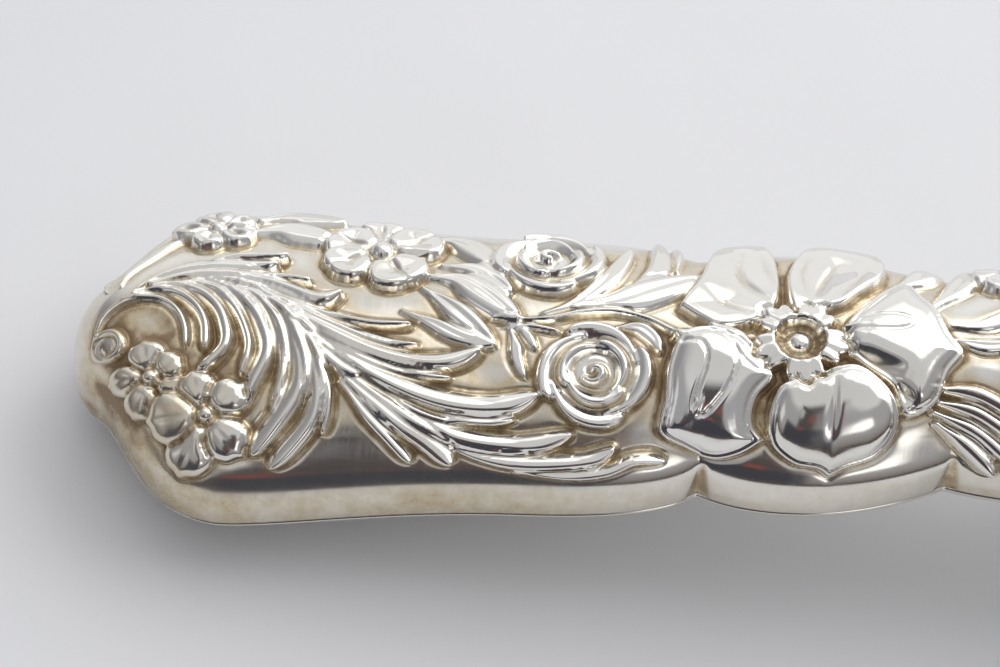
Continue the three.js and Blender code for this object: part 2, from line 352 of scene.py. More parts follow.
def spline(points, closed=False, steps=7):
    """A smooth curve through points. A point that is given twice is a corner."""
    p = np.array(points, float)
    p = np.vstack([p[-1:], p, p[:2]]) if closed else np.vstack([p[:1], p, p[-1:]])
    t = np.linspace(0, 1, steps, endpoint=False)[:, None]
    curve = []
    for a, b, c, d in zip(p, p[1:], p[2:], p[3:]):
        if np.allclose(b, c):
            continue
        cubic = (2 * a - 5 * b + 4 * c - d) * t**2 + (3 * b - a - 3 * c + d) * t**3
        curve.append(b + ((c - a) * t + cubic) / 2)
    if not closed:
        curve.append(p[-1:])
    return np.vstack(curve)


def distance_in(outline, x, s):
    """Distance in from the border of a closed outline, and below 0 outside it."""
    best = np.full(x.shape, 1e9)
    inside = np.zeros(x.shape, bool)
    for (ax, ay), (bx, by) in zip(outline, np.roll(outline, -1, axis=0)):
        dx, dy = bx - ax, by - ay
        t = np.clip(((x - ax) * dx + (s - ay) * dy) / (dx * dx + dy * dy + 1e-12), 0, 1)
        best = np.minimum(best, (x - ax - t * dx) ** 2 + (s - ay - t * dy) ** 2)
        if ay != by:
            inside ^= ((ay > s) != (by > s)) & (x < dx * (s - ay) / dy + ax)
    return np.where(inside, 1, -1) * np.sqrt(best)


def distance_off(path, x, s):
    """How far along a path each point lies, from 0 to 1, and its distance to the left of it."""
    best = np.full(x.shape, 1e9)
    side = np.ones(x.shape)
    where = np.zeros(x.shape)
    run = np.concatenate([[0], np.cumsum(np.linalg.norm(np.diff(path, axis=0), axis=1))])
    for i, ((ax, ay), (bx, by)) in enumerate(zip(path, path[1:])):
        dx, dy = bx - ax, by - ay
        length = run[i + 1] - run[i] + 1e-12
        t = np.clip(((x - ax) * dx + (s - ay) * dy) / length**2, 0, 1)
        away = (x - ax - t * dx) ** 2 + (s - ay - t * dy) ** 2
        closer = away < best
        best = np.where(closer, away, best)
        side = np.where(closer, np.sign((s - ay) * dx - (x - ax) * dy), side)
        where = np.where(closer, (run[i] + t * length) / run[-1], where)
    return where, side * np.sqrt(best)


def rounded(t):
    """From 0 to 1 with a round shoulder."""
    t = np.clip(t, 0, 1)
    return np.sqrt(t * (2 - t))


relief = Relief()


def pad(outline, height, edge=0.6, dish=0.0, rim=0.7, hollow=1.6, moat=0.14, bead=0.0, dome=0.0, fall=0.0):
    """A raised petal in a closed outline: hollow, or domed inside a thin bead. It can fall towards -s."""
    part, x, s = relief.window(outline, 1.2)
    d = distance_in(outline, x, s)
    shape = height * rounded(d / edge) - dish * smoothstep(d, rim, rim + hollow)
    shape += bead * np.exp(-(((d - 0.4) / 0.26) ** 2)) + dome * rounded((d - 0.7) / 3.2)
    shape += fall * (s - outline[:, 1].mean()) * rounded(d / edge)
    around = relief.h[part] - moat * np.exp(-((np.minimum(d, 0) / 0.4) ** 2))
    relief.raise_to(part, d > 0, shape, around)


def heading(x, s, angle, along, across=0.0):
    """Points that are given along and across a direction from x and s."""
    turn = math.radians(angle)
    cos, sin = math.cos(turn), math.sin(turn)
    return np.stack([x + along * cos - across * sin, s + along * sin + across * cos], axis=-1)


def petal_outline(x, s, angle, length, width, point=0.0):
    """A closed petal that springs from a flower's heart. A point below 0 is a notch."""
    shape = [(0.12, 0.28), (0.4, 0.85), (0.68, 1.0), (0.9, 0.7), (1 - 0.4 * abs(point), 0.28)]
    shape = shape + [(1 + point, 0)] + [(a, -b) for a, b in reversed(shape)]
    along, across = np.array(shape).T
    return spline(heading(x, s, angle, along * length, across * width / 2), True)


def petal(x, s, angle, length, width, height=1.0, point=0.06, crease=0.2, **form):
    pad(petal_outline(x, s, angle, length, width, point), height, **{"edge": 0.9, **form})
    groove(heading(x, s, angle, np.array([0.25, 0.6, 0.92]) * length), 0.2, crease)


def flower(x, s, petals, *form, **more):
    """Petals round one heart, each with its own angle, length and width."""
    for angle, length, width in petals:
        petal(x, s, angle, length, width, *form, **more)


def oval(x, s, along, across, angle=0.0, steps=28, wave=0.0, waves=5):
    t = circle_turns(steps)
    swell = 1 + wave * np.cos(waves * t)
    return heading(x, s, angle, along * swell * np.cos(t), across * swell * np.sin(t))


def strand(points, width, height=0.8, lean=0.0, start=0.35, tip=0.25, vein=0.0, carve=0.16, full=0.8):
    """A ridge that follows a path. It swells from its start and ends in a rounded or pointed tip."""
    path = spline(points)
    part, x, s = relief.window(path, width + 0.8)
    t, off = distance_off(path, x, s)
    swell = start + (1 - start) * smoothstep(t, 0, 0.5)
    taper = rounded((1 - t) / tip) if tip > 0 else 1
    half = np.maximum(width / 2 * swell * taper, 1e-3)
    u = off / half
    side = np.where(u > lean, (u - lean) / (1 - lean), (u - lean) / (-1 - lean))
    shape = height * (0.55 + 0.45 * swell) * np.clip(1 - side**2, 0, None) ** full
    shape -= vein * np.exp(-((u / 0.3) ** 2)) * taper
    ends = (t > 0.001) & (t < 0.999)
    inside = (np.abs(u) < 1) & (ends | (np.abs(off) < half * 0.9))
    outside = np.maximum(np.abs(off) - half, 0)
    below = relief.h[part] - carve * swell * np.exp(-((outside / 0.25) ** 2)) * ends
    relief.raise_to(part, inside, np.maximum(relief.h[part], shape), below)


def groove(points, width, depth, stain=0.0):
    """A cut line, or a ridge where its depth is below 0, with faded ends."""
    path = spline(points)
    part, x, s = relief.window(path, 2 * width)
    t, off = distance_off(path, x, s)
    fade = np.sin(math.pi * np.clip(t, 0.02, 0.98)) ** 0.5
    line = np.exp(-((off / width) ** 2)) * fade
    relief.h[part] -= depth * line
    relief.stain[part] += stain * line


def ball(x, s, radius, height, stretch=1.0, angle=0.0):
    pad(oval(x, s, radius, radius * stretch, angle), height, edge=radius * 0.95, moat=0.3)


def blossom(x, s, radius, petals=5, turn=0.0, height=0.9):
    """Dished petals round a ball."""
    for k in range(petals):
        angle = turn + 360 * k / petals
        width = 2.3 * radius * math.sin(math.pi / petals) * 0.78
        petal(x, s, angle, radius, width, height, -0.05, dish=0.2, rim=0.6, bead=0.15)
    ball(x, s, 0.2 * radius, height * 1.1)


def arc_points(x, s, radius, start, sweep, grow=0.0, steps=9):
    turns = [math.radians(start + sweep * k / (steps - 1)) for k in range(steps)]
    radii = [radius * (1 + grow * k / (steps - 1)) for k in range(steps)]
    return [(x + r * math.cos(a), s + r * math.sin(a)) for r, a in zip(radii, turns)]


def rose(x, s, radius, turn=0.0, height=1.0):
    """A cup with thick rolled petals that overlap in two rings round a small spiral."""
    pad(oval(x, s, 0.97 * radius, 0.97 * radius, turn, 40, 0.05), 0.4 * height, edge=0.7)
    for size, width, petals, lift in ((0.78, 0.42, 4, 0.95), (0.47, 0.31, 3, 1.12)):
        for k in range(petals):
            start = turn + 360 * k / petals + 50 * (size < 0.7)
            arc = arc_points(x, s, size * radius, start, 420 / petals, 0.24)
            strand(arc, width * radius, lift * height, lean=-0.5, start=0.5, tip=0.25, carve=0.12)
    curl = arc_points(x, s, 0.22 * radius, turn + 200, 300, -0.8, 13)
    strand(curl, 0.24 * radius, 1.15 * height, start=0.7, tip=0.2, carve=0.12)


def leaf(points, width, height=0.7, vein=0.2, lean=0.15):
    strand(points, 1.12 * width, height, lean, start=0.25, tip=0.5, vein=vein, full=0.6)


def serrated_collar(x, s, radius):
    """A jagged calyx, in five lobes with three points each, round a ball in a deep ring."""
    part, gx, gs = relief.window(np.array([[x, s]]), radius + 1.2)
    r, angle = np.hypot(gx - x, gs - s), np.arctan2(gs - s, gx - x)
    lobe = np.abs(np.cos(2.5 * angle + 0.5)) ** 0.6
    tooth = np.abs(np.cos(7.5 * angle + 1.5))
    border = radius * (0.58 + 0.3 * lobe + 0.14 * tooth)
    shape = (1.1 + 0.12 * tooth + 0.15 * lobe) * rounded((border - r) / 0.5)
    shape += 0.25 * smoothstep(r, 0.85 * radius, 0.5 * radius) * rounded((border - r) / 0.5)
    shape -= 1.15 * smoothstep(r, 0.5 * radius, 0.42 * radius)
    around = relief.h[part] - 0.35 * np.exp(-((np.minimum(border - r, 0) / 0.4) ** 2))
    relief.raise_to(part, r < border, shape, around)
    relief.stain[part] += 0.5 * np.exp(-(((r - 0.36 * radius) / 0.35) ** 2))
    ball(x, s, 0.27 * radius, 1.05)


# ---------- the ornament, from the butt to the neck ----------


def butt_scroll():
    """A small volute whose rim sweeps over a shallow well."""
    well = spline([(5.4, -2.6), (6.2, -0.4), (8.4, 0.6), (10.6, -0.4), (11.6, -3), (8.4, -4.6)], True)
    part, x, s = relief.window(well, 0.5)
    d = distance_in(well, x, s)
    relief.h[part] -= 0.15 * smoothstep(d, 0, 2.2)
    relief.stain[part] += 0.35 * smoothstep(d, 0, 0.6)
    pad(oval(5.3, -4.0, 1.75, 1.75), 0.75, edge=0.5, dish=0.35, rim=0.45, hollow=0.6)
    coil = [(4.6, -4.4), (5.2, -5.0), (6.1, -4.4), (5.8, -3.3), (4.7, -3.1), (4.0, -4.0), (4.4, -5.2)]
    groove(coil, 0.16, 0.2, 0.3)
    rim = [(3.9, -3.3), (4.4, -1.4), (5.9, 0.2), (7.8, 1.0), (9.8, 0.8), (11.3, -0.4), (12.2, -2.2)]
    strand(rim + [(12.5, -4.3)], 0.9, 0.75, start=0.5, tip=0.12)


def butt_fan():
    """Long strands that spring from the scroll and sweep round to the edge."""
    inner = [
        ([(6.2, 0.5), (8.4, 1.7), (10.8, 1.5), (12.7, 0.2), (13.9, -1.8), (14.3, -4.6)], 0.95),
        ([(7.2, 1), (9.6, 2.2), (12.2, 2), (14.3, 0.6), (15.6, -1.6), (15.9, -4.2), (13.8, -6.8)], 1.2),
        ([(8.4, 1.7), (11, 2.6), (13.7, 2.3), (15.8, 0.8), (17.2, -1.3), (18.1, -4), (17.7, -7)], 0.95),
        ([(9.5, 2.2), (12.4, 2.9), (15.2, 2.4), (17.4, 0.8), (19, -1.7), (19.7, -5), (17.3, -10.6)], 1.45),
        ([(11, 2.7), (14, 3.1), (16.9, 2.2), (19.1, 0.4), (20.7, -2.3), (21.4, -6), (20.7, -10.3)], 1.05),
        ([(12.5, 3), (15.7, 3), (18.6, 1.8), (20.9, -0.4), (22.4, -3.4), (22.8, -8), (19, -14)], 1.75),
        ([(14, 3.1), (17.5, 2.5), (20.5, 0.8), (22.8, -1.9), (24.3, -5.6), (24.2, -10.4), (20.6, -15)], 1.6),
        ([(22.3, -1.9), (24.2, -4.2), (25.3, -7), (25.6, -9.6), (25.1, -12)], 0.7),
    ]
    for points, width in inner:
        strand(points, 1.35 * width, 0.95 + 0.3 * width, lean=0.3, tip=0.1, carve=0.28)
    outer = [
        ([(7, 1.4), (9, 3.4), (11.8, 4.7), (15, 5.3), (17.6, 5.2), (19.8, 5.6)], 1.6),
        ([(12.6, 5.4), (15.2, 6.5), (17.8, 6.8), (20.6, 7.1)], 1.1),
        ([(8.5, 2.4), (11.5, 3.7), (15, 4), (18.5, 3.4), (21.5, 2.2), (23.8, 1.4), (26, 2.3)], 1.7),
        ([(16, 3.9), (18.5, 4.1), (21, 4), (23, 3.6)], 0.8),
        ([(12, 3.2), (16.5, 3), (20.5, 1.4), (24.5, -0.1), (28.5, -1), (32.5, -1)], 0.85),
        ([(15, 3.2), (19.5, 2), (23.5, -0.4), (27, -1.9), (30.5, -3), (33.2, -3.2)], 0.95),
        ([(16.5, 2.6), (20.5, 0.6), (24.5, -1.8), (28.5, -3.8), (32.5, -4.8), (36, -4.6), (38.8, -3.3)], 1.7),
        ([(21, -0.5), (25, -3.1), (29, -5), (33, -6), (36.3, -6.3)], 0.9),
        ([(22, -1.2), (26, -4.2), (30, -6.5), (34, -8), (38, -8.7), (41.2, -8.5), (44, -7.4)], 1.9),
        ([(27, -5.8), (31, -8.3), (35, -9.8), (39, -10.1), (42, -9.8)], 0.8),
        ([(25, -4.6), (29, -7.5), (33, -10), (37, -11.5), (41, -12), (44.2, -11.7), (47, -10.7)], 1.6),
        ([(34, -11.3), (38, -12.8), (42, -13.4), (46, -13.3), (48.8, -12.9), (50.7, -11.7)], 1.3),
        ([(42, -14.3), (46, -14.4), (49.8, -13.9), (52.4, -12.8), (55.2, -12.6)], 0.9),
        ([(26.2, -6), (29, -8.5), (32, -10.6), (34.6, -12.2), (36.7, -13.8)], 1.8),
        ([(26.4, -7), (28.6, -9.5), (31, -11.9), (33.1, -13.9)], 1.1),
    ]
    for points, width in outer:
        strand(points, 1.35 * width, 0.85 + 0.3 * width, lean=-0.3, tip=0.14, carve=0.28)
    strand([(22.6, -2.2), (24.6, -4.2), (26.4, -5.7), (28.1, -6.5)], 1.5, 1.15, tip=0.3)
    strand([(4, 2.4), (3.6, 6), (5, 10), (7.6, 14), (11, 18)], 1.9, 0.5, start=0.2, tip=0.5, carve=0.05)
    strand([(5.4, 2.8), (6, 6), (8, 9.2), (10.4, 11.4)], 1.7, 0.5, start=0.2, tip=0.5, carve=0.05)


def butt_blossoms():
    """Two little flowers with domed petals, beside the scroll."""
    small = [(190, 4.2, 3.2), (250, 4.3, 3.4), (-20, 3.4, 3), (105, 3.6, 3.7), (35, 3.3, 3)]
    flower(9.6, -7.2, small, 0.9, 0.05, 0.07)
    large = [(110, 4.2, 3.6), (40, 4.3, 3.8), (-110, 5.8, 4.6), (-45, 4.9, 4.2), (187, 5.3, 4.9)]
    flower(14.8, -10.6, large, 1.15, 0.05, 0.08, dome=0.25)
    ball(9.6, -7.3, 0.85, 1.15)
    ball(14.9, -10.6, 0.9, 1.3)


def far_leaves():
    """The leaf and the flowers on the far side of the long lobe."""
    small = [(180, 4.32, 3.6), (255, 3.888, 3.4), (-35, 4.104, 3.4), (30, 3.888, 3.2), (100, 4.752, 4)]
    flower(13, 12.4, small, 1.0, 0.03, 0.3, edge=0.6, dish=0.35, rim=0.6, hollow=1.3)
    ball(13, 12.4, 0.9, 1.0)
    leaf([(16.4, 11.9), (19, 12.4), (21.6, 11.8), (24.4, 10.4)], 3.6, 1.0)
    leaf([(16.8, 15.2), (19.4, 16.6), (22, 16.6), (24.8, 15.2)], 4.2, 0.9)
    large = [(95, 6.5, 5), (150, 5.8, 5.6), (35, 6.2, 6), (212, 5.8, 5.4), (-60, 5.8, 6)]
    flower(28.8, 8.7, large, 1.1, -0.02, 0.35, edge=0.6, dish=0.35, rim=0.7, hollow=1.9)
    groove([(29.6, 8), (31.5, 8.6), (33.4, 8.2)], 0.3, 0.35)
    ball(28.8, 8.7, 1.3, 1.6, 1.2)
    leaf([(33, 12.5), (35.5, 12), (38, 9.5), (39.2, 6.6)], 3.0, 0.9)
    leaf([(34.5, 7.2), (37, 6.8), (39.4, 5.2), (41, 3.2)], 2.4, 0.85)
    leaf([(33.6, 5.3), (36.2, 4.8), (39, 2.6), (41.9, -0.2)], 3.3, 1.0)
    leaf([(33.0, 3.6), (35, 1.9), (37.4, -0.4), (39.9, -3)], 2.4, 0.95, 0.3)
    leaf([(31.4, 0.7), (34, -0.6), (36.6, -2), (39.8, -3)], 1.7, 0.85)


def rose_spray():
    """Two roses on a stem that crosses the middle of the handle."""
    leaf([(44, 1), (47, 2.6), (49.3, 5.4), (50.8, 8.8), (51.8, 12)], 2.0, 0.8)
    leaf([(47.5, 1.9), (51, 3.4), (53.5, 6.2), (54.5, 10), (54.2, 15.5)], 2.2, 0.85)
    leaf([(46.8, 2), (50.5, 2.8), (54, 4.6), (58.8, 7.1)], 3.5, 0.95, 0.2)
    strand([(55.9, 8.4), (56.1, 12), (55.8, 16)], 1.3, 0.7)
    stem = [(39.5, 0.2), (44, 0.3), (47.4, 1.2), (50.4, 1.5), (53.2, 0.8), (55.2, -0.3), (56.6, -0.9)]
    strand(stem, 0.75, 0.8, start=0.7, tip=0.02)
    strand([(40.5, -0.6), (43, -0.5), (45.6, -1)], 0.7, 0.6)
    leaf([(41, -0.5), (41.6, -2.4), (41.9, -4.2), (42.7, -6)], 1.2, 0.65)
    leaf([(41.2, -0.6), (42.4, -1.2), (43.5, -3)], 1.0, 0.6)
    rose(44.2, 8.6, 4.8, 200, 1.2)
    rose(48.7, -5.2, 4.7, 20, 1.3)
    leaf([(50.2, -0.3), (52.4, -0.2), (53.8, -1.3), (54.5, -3)], 1.5, 0.7)


def big_flower():
    """A wide open flower over the first cusp, with a jagged calyx round its heart."""
    far = {"edge": 0.7, "dish": 0.65, "rim": 0.7, "hollow": 3.4, "bead": 0.12}
    far_left = [(63.6, 1), (60, -0.3), (58, 0.5), (55.8, 2.2), (55.8, 2.2), (57.6, 6), (58.6, 10)]
    far_left += [(60, 13.4), (62.6, 14.2), (64.6, 12.5), (65.2, 8), (65, 3.6)]
    pad(spline(far_left, True), 1.1, **far)
    top = [(66.3, 2), (65.6, 6), (66.4, 10), (68.2, 13.4), (71.6, 14), (74.8, 11.6), (74.6, 7.8)]
    pad(spline(top + [(72.4, 5), (70.2, 2.8)], True), 1.1, **far)
    creases = [[(64, 2.8), (62, 6), (61.4, 10)], [(63, 1.4), (60.4, 2.8), (58.6, 4.8)]]
    creases += [[(64.8, 4.4), (64, 8), (63.6, 11)], [(68.4, 3.6), (69.2, 7), (70.6, 10.6)]]
    creases += [[(67.4, 4), (67.2, 7.4), (68, 10.6)], [(70, 3.8), (72, 6.4), (73.2, 9)]]
    for line in creases:
        groove(line, 0.4, 0.22, 0.1)
    near = {"edge": 0.5, "bead": 0.26, "dome": 1.05}
    right = [(70.6, 0.9), (73.4, 4.3), (75.3, 6.2), (76.9, 6.4), (77.9, 4.5), (79.1, 2.8), (79.9, 0.2)]
    right += [(81, -1.9), (79.6, -3.9), (78.6, -6.5), (76.6, -8), (75.2, -7.8), (74.4, -5.5)]
    pad(spline(right + [(71.6, -3.2), (70.2, -2)], True), 1.0, **near)
    strand([(70.4, 0.2), (72.6, 0.5), (76.4, 0.5)], 1.3, 1.95, start=0.5, tip=0.3, carve=0.2)
    groove([(71.4, -2.2), (73.4, -3.3), (75.6, -4.1)], 0.75, 0.6, 0.2)
    groove([(74.8, -5.2), (76, -6.4), (76.4, -7.6)], 0.5, 0.45)
    lower = [(64.8, -5.6), (63.7, -8.2), (64, -10.9), (66, -12.6), (68.2, -13), (69.2, -13.7), (69.2, -13.7)]
    lower += [(70.5, -12.9), (73.3, -11.7), (75, -9.3), (74.9, -6.6), (73.2, -4.6), (71, -3.6), (68, -4.4)]
    pad(spline(lower, True), 1.3, fall=0.17, **near)
    groove([(69.4, -4.8), (69.3, -7.4), (69.1, -10)], 0.3, 0.2)
    folded = [(56.4, -1), (54.9, -4), (54.6, -7.2), (54.3, -10.3), (56.6, -11.6), (59.2, -12.5)]
    folded += [(61.6, -12), (63.8, -10.6), (63.8, -10.6), (62.7, -9.2), (63, -7), (64.4, -5)]
    pad(spline(folded + [(62.8, -2.4), (60, -0.6)], True), 1.2, fall=0.12, **near)
    fold = [(56.2, -1.2), (58.4, -1.4), (59.6, -3), (59.4, -5.2), (58, -7.6), (57.4, -8.4)]
    strand(fold, 2.4, 2.3, lean=-0.4, start=0.8, tip=0.5, carve=0.25)
    strand([(58.8, -0.4), (61.2, -1.6), (63.4, -4.6)], 2.0, 2.1, lean=0.3, start=0.6, tip=0.4, carve=0.2)
    serrated_collar(66.6, -1.2, 4.5)


def neck_spray():
    """Leaves, a rose and blossoms on the short lobe, up to the neck."""
    leaf([(75.6, 7), (78, 9.4), (79.6, 12.6), (80.4, 15)], 2.8, 0.9)
    leaf([(78.6, 3.8), (80.6, 6.4), (82.4, 9.4), (83.4, 13)], 2.6, 0.9)
    leaf([(80, 1.4), (83.2, 1.4), (86, 3), (88, 5.6)], 1.8, 0.8)
    leaf([(79.8, 0), (83, -1), (86.4, -0.6)], 1.4, 0.7)
    for k in range(4):
        tip = (86.6 - 0.9 * k, -8.4 - 1.5 * k)
        strand([(77.6 + 0.3 * k, -5.4 - k), (81.6, -5.6 - 1.7 * k), tip], 1.9, 1.0, lean=0.3)
    blossom(86.4, 9.4, 3.6, 5, 30, 0.95)
    rose(90.2, -3.6, 4.3, 110, 1.2)
    leaf([(86.8, 3), (90, 3.4), (93.6, 2.6), (97, 0.4)], 2.4, 0.85)
    leaf([(90, 8.4), (93.4, 8.4), (97, 6.6), (100, 3.6)], 2.2, 0.85)
    leaf([(92.6, -8.2), (95.6, -9), (98.6, -8), (101.6, -5)], 2.2, 0.9)
    blossom(98.8, -3.2, 2.9, 5, 10, 0.85)
    stem = [(94.4, 0.4), (99, 1.4), (104, 1.2), (109, 0), (114, -0.6), (119, 0.4)]
    strand(stem, 0.9, 0.8, start=0.8, tip=0.05)
    for side in (-1, 1):
        for sweep, width, height in (
            ([(101, 2.5), (105, 4.6), (108.6, 7.4), (112, 11.6)], 2.6, 0.95),
            ([(104, 2), (109, 3.6), (114, 7), (118, 12)], 2.4, 0.9),
            ([(108, 1.2), (114, 2.8), (120, 5.2), (125, 9)], 2.2, 0.85),
        ):
            leaf([(x, side * s) for x, s in sweep], width, height)


# ---------- the ornament of the head ----------


def along_rim(fraction, side, inset):
    """A place on the head at a distance in from its outline, as x and s."""
    rim = HALF_OUTLINE[HALF_OUTLINE[:, 0] > 116]
    run = np.concatenate([[0], np.cumsum(np.linalg.norm(np.diff(rim, axis=0), axis=1))])
    behind, point, ahead = (
        np.array([np.interp(fraction * run[-1] + step, run, rim[:, k]) for k in (0, 1)])
        for step in (-4, 0, 4)
    )
    tangent = (ahead - behind) / np.linalg.norm(ahead - behind)
    x, y = point + inset * np.array([tangent[1], -tangent[0]])
    return x, side * relief.arc(x, max(y, 0.0))


# Round the head, in shares of the rim's length and in millimetres in from the rim.
BORDER_UNITS = 7
BORDER_START = 0.07
BORDER_PITCH = 0.142
FLOWER_AT = (0.068, 12.6)
BALLS_AT = (0.026, 0.11)
SCROLL = [(-0.055, 8.4), (-0.05, 6), (-0.03, 5.2), (0, 6.4), (0.03, 8.8), (0.05, 9), (0.052, 7.2)]
SCROLL += [(0.04, 6.8)]
SPRAY = [[(k * 0.009, 8.5), (k * 0.018, 13.5), (k * 0.038, 18.8 - abs(k))] for k in (-1, 0, 1)]


def border_unit(number, side):
    """A scroll with a spray of leaves, then a flower between two balls."""
    middle = BORDER_START + BORDER_PITCH * number

    def at(fraction, inset):
        return along_rim(middle + fraction, side, inset)

    strand([at(*point) for point in SCROLL], 2.6, 1.25, lean=0.3 * side, start=0.6, tip=0.12)
    for path in SPRAY:
        leaf([at(*point) for point in path], 3.1, 1.1)
    if number % 2:
        rose(*at(*FLOWER_AT), 6.4, 70 * number + 40 * side, 1.5)
    else:
        blossom(*at(*FLOWER_AT), 6.8, 5, 25 * number, 1.4)
    for beside in BALLS_AT:
        if middle + beside < 1:
            ball(*at(beside, 6.4), 1.0, 0.9)


def head_border():
    for side in (-1, 1):
        for number in range(BORDER_UNITS):
            border_unit(number, side)


WREATH_LEAVES = 40
WREATH_OVAL = (32, 17.3)
PANEL_OVAL = (31, 16.3)


def cartouche():
    """A plain oval panel with a raised frame and a wreath, left blank."""
    centre = HEAD_CENTRE - 1.5
    along, across = WREATH_OVAL
    for k in range(WREATH_LEAVES):
        a = 2 * math.pi * k / WREATH_LEAVES
        turns = ((1, a), (1.1, a + 0.1), (1.14, a + 0.22))
        path = [(centre + r * along * math.cos(t), r * across * math.sin(t)) for r, t in turns]
        leaf(path, 2.1, 0.75)
    outline = oval(centre, 0, *PANEL_OVAL, 0, 90)
    part, x, s = relief.window(outline, 3)
    d = distance_in(outline, x, s)
    frame_ridge = 0.95 * np.exp(-((d / 0.6) ** 2)) + 0.4 * np.exp(-(((d - 1.7) / 0.4) ** 2))
    relief.raise_to(part, d > -0.7, frame_ridge, relief.h[part])


CUSPS = (58.1, 80.1, 101.5)


def cusp_marks():
    """Where two lobes meet: a pinched stain that widens to the edge, and fine tool marks beside it."""
    for x in CUSPS:
        for side in (-1, 1):
            part, gx, _ = relief.window(np.array([[x, side * 16.0]]), 9)
            up = relief.reach[part[0]][:, None] - side * relief.s[part]
            spread = 0.1 + 0.22 * np.clip(4.2 - up, 0, 4.2)
            mark = smoothstep(spread - np.abs(gx - x - 0.1 * up), -0.25, 0.3) * smoothstep(up, 4.6, 3.2)
            relief.stain[part] += 0.5 * mark
            relief.h[part] -= 0.15 * mark
            hatch = smoothstep(gx, x + 0.6, x + 1.2) * smoothstep(gx, x + 7, x + 3) * smoothstep(up, 1.3, 0.9)
            relief.h[part] -= 0.05 * hatch * (0.5 + 0.5 * np.cos(2 * math.pi * gx / 0.45))
            relief.stain[part] += 0.12 * hatch


def blurred(values, cells, passes=2):
    """A copy of a grid with each value averaged over its neighbours."""
    for _ in range(passes):
        for axis in (0, 1):
            pads = [(0, 0), (0, 0)]
            pads[axis] = (cells + 1, cells)
            total = np.cumsum(np.pad(values, pads, mode="edge"), axis=axis)
            high = np.take(total, range(2 * cells + 1, total.shape[axis]), axis=axis)
            low = np.take(total, range(0, total.shape[axis] - 2 * cells - 1), axis=axis)
            values = (high - low) / (2 * cells + 1)
    return values


def chase():
    """Draws the whole ornament, then softens it as polishing does."""
    fan = [(7, 1), (12, 4), (20, 4), (30, -1), (38, -6), (42, -10), (34, -10), (26, -8), (24, -12)]
    pad(spline(fan + [(20, -14), (17, -9), (14, -4), (10, 0)], True), 0.35, edge=2.0, moat=0)
    relief.h = blurred(relief.h, 8)
    relief.cover[:] = 0
    butt_fan()
    butt_scroll()
    butt_blossoms()
    groove([(2.4, -5), (4.6, -9), (7.6, -12.6), (11.4, -15.4), (15, -16.6)], 1.3, 0.0, 0.4)
    groove([(3, -6.4), (5.4, -9.8), (7.6, -12)], 1.0, 0.0, 0.4)
    groove([(7.5, -4.5), (12, -9), (16.5, -13.5)], 4.0, 0.0, 0.22)
    far_leaves()
    rose_spray()
    big_flower()
    neck_spray()
    head_border()
    cartouche()
    cusp_marks()
    ground = smoothstep(relief.share, -0.82, -0.6) * smoothstep(relief.share, 0.62, 0.38)
    ground *= smoothstep(relief.x, 2, 8) * smoothstep(relief.x, 122, 112)
    relief.h = np.maximum(blurred(relief.h, 1, 1) - GROUND_DEPTH * ground, LOWEST)


# How dark the ground is across the top, from the near edge (-1) to the far edge (1).
GROUND_AT = (-0.8, -0.55, -0.3, 0.1, 1)
GROUND_STAIN = (0.1, 0.3, 0.5, 0.3, 0.3)


def tarnish_and_shade():
    """Where the polish never reaches: the ground between motifs and the foot of every edge, plus painted
    shade on the bands along the edges, darker towards the butt.
    """
    ground = smoothstep(blurred(relief.cover, 10), 0.04, 0.35) * (1 - blurred(relief.cover, 1))
    cavity = np.clip((blurred(relief.h, 3) - relief.h - 0.03) / 0.3, 0, 1)
    nose = 0.22 * smoothstep(relief.x, 18, 2)
    # Real haze and scratches along both lower edges, plus painted shade: the band darkens towards the butt,
    # standing in for the shadowed floor that the near band reflects there.
    worn_band_and_shade = 0.17 + 0.18 * smoothstep(relief.x, 60, 36)
    worn_band_and_shade *= smoothstep(np.abs(relief.share), 0.75, 0.88) * smoothstep(relief.x, 118, 90)
    dim = np.interp(relief.share, GROUND_AT, GROUND_STAIN)
    return np.clip(dim * ground + 0.62 * cavity + nose + worn_band_and_shade + relief.stain, 0, 1)


# ---------- materials ----------


class Nodes:
    """A small helper for node trees."""

    def __init__(self, tree):
        self.tree = tree

    def node(self, kind, inputs=None, **settings):
        made = self.tree.nodes.new("ShaderNode" + kind)
        for key, value in settings.items():
            setattr(made, key, value)
        self.feed(made, inputs or {})
        return made

    def feed(self, node, inputs):
        """Links a socket to each input that is a node's output, and sets the others."""
        for socket, value in inputs.items():
            if isinstance(value, bpy.types.NodeSocket):
                self.tree.links.new(value, node.inputs[socket])
            else:
                node.inputs[socket].default_value = value

    def math(self, operation, a, b=0.0, clamp=False):
        return self.node("Math", {0: a, 1: b}, operation=operation, use_clamp=clamp).outputs[0]

    def spread(self, value, low, high, to_low=0.0, to_high=1.0, kind="LINEAR"):
        """Maps the range low to high onto another one."""
        limits = {"From Min": low, "From Max": high, "To Min": to_low, "To Max": to_high}
        return self.node("MapRange", {"Value": value, **limits}, interpolation_type=kind).outputs[0]


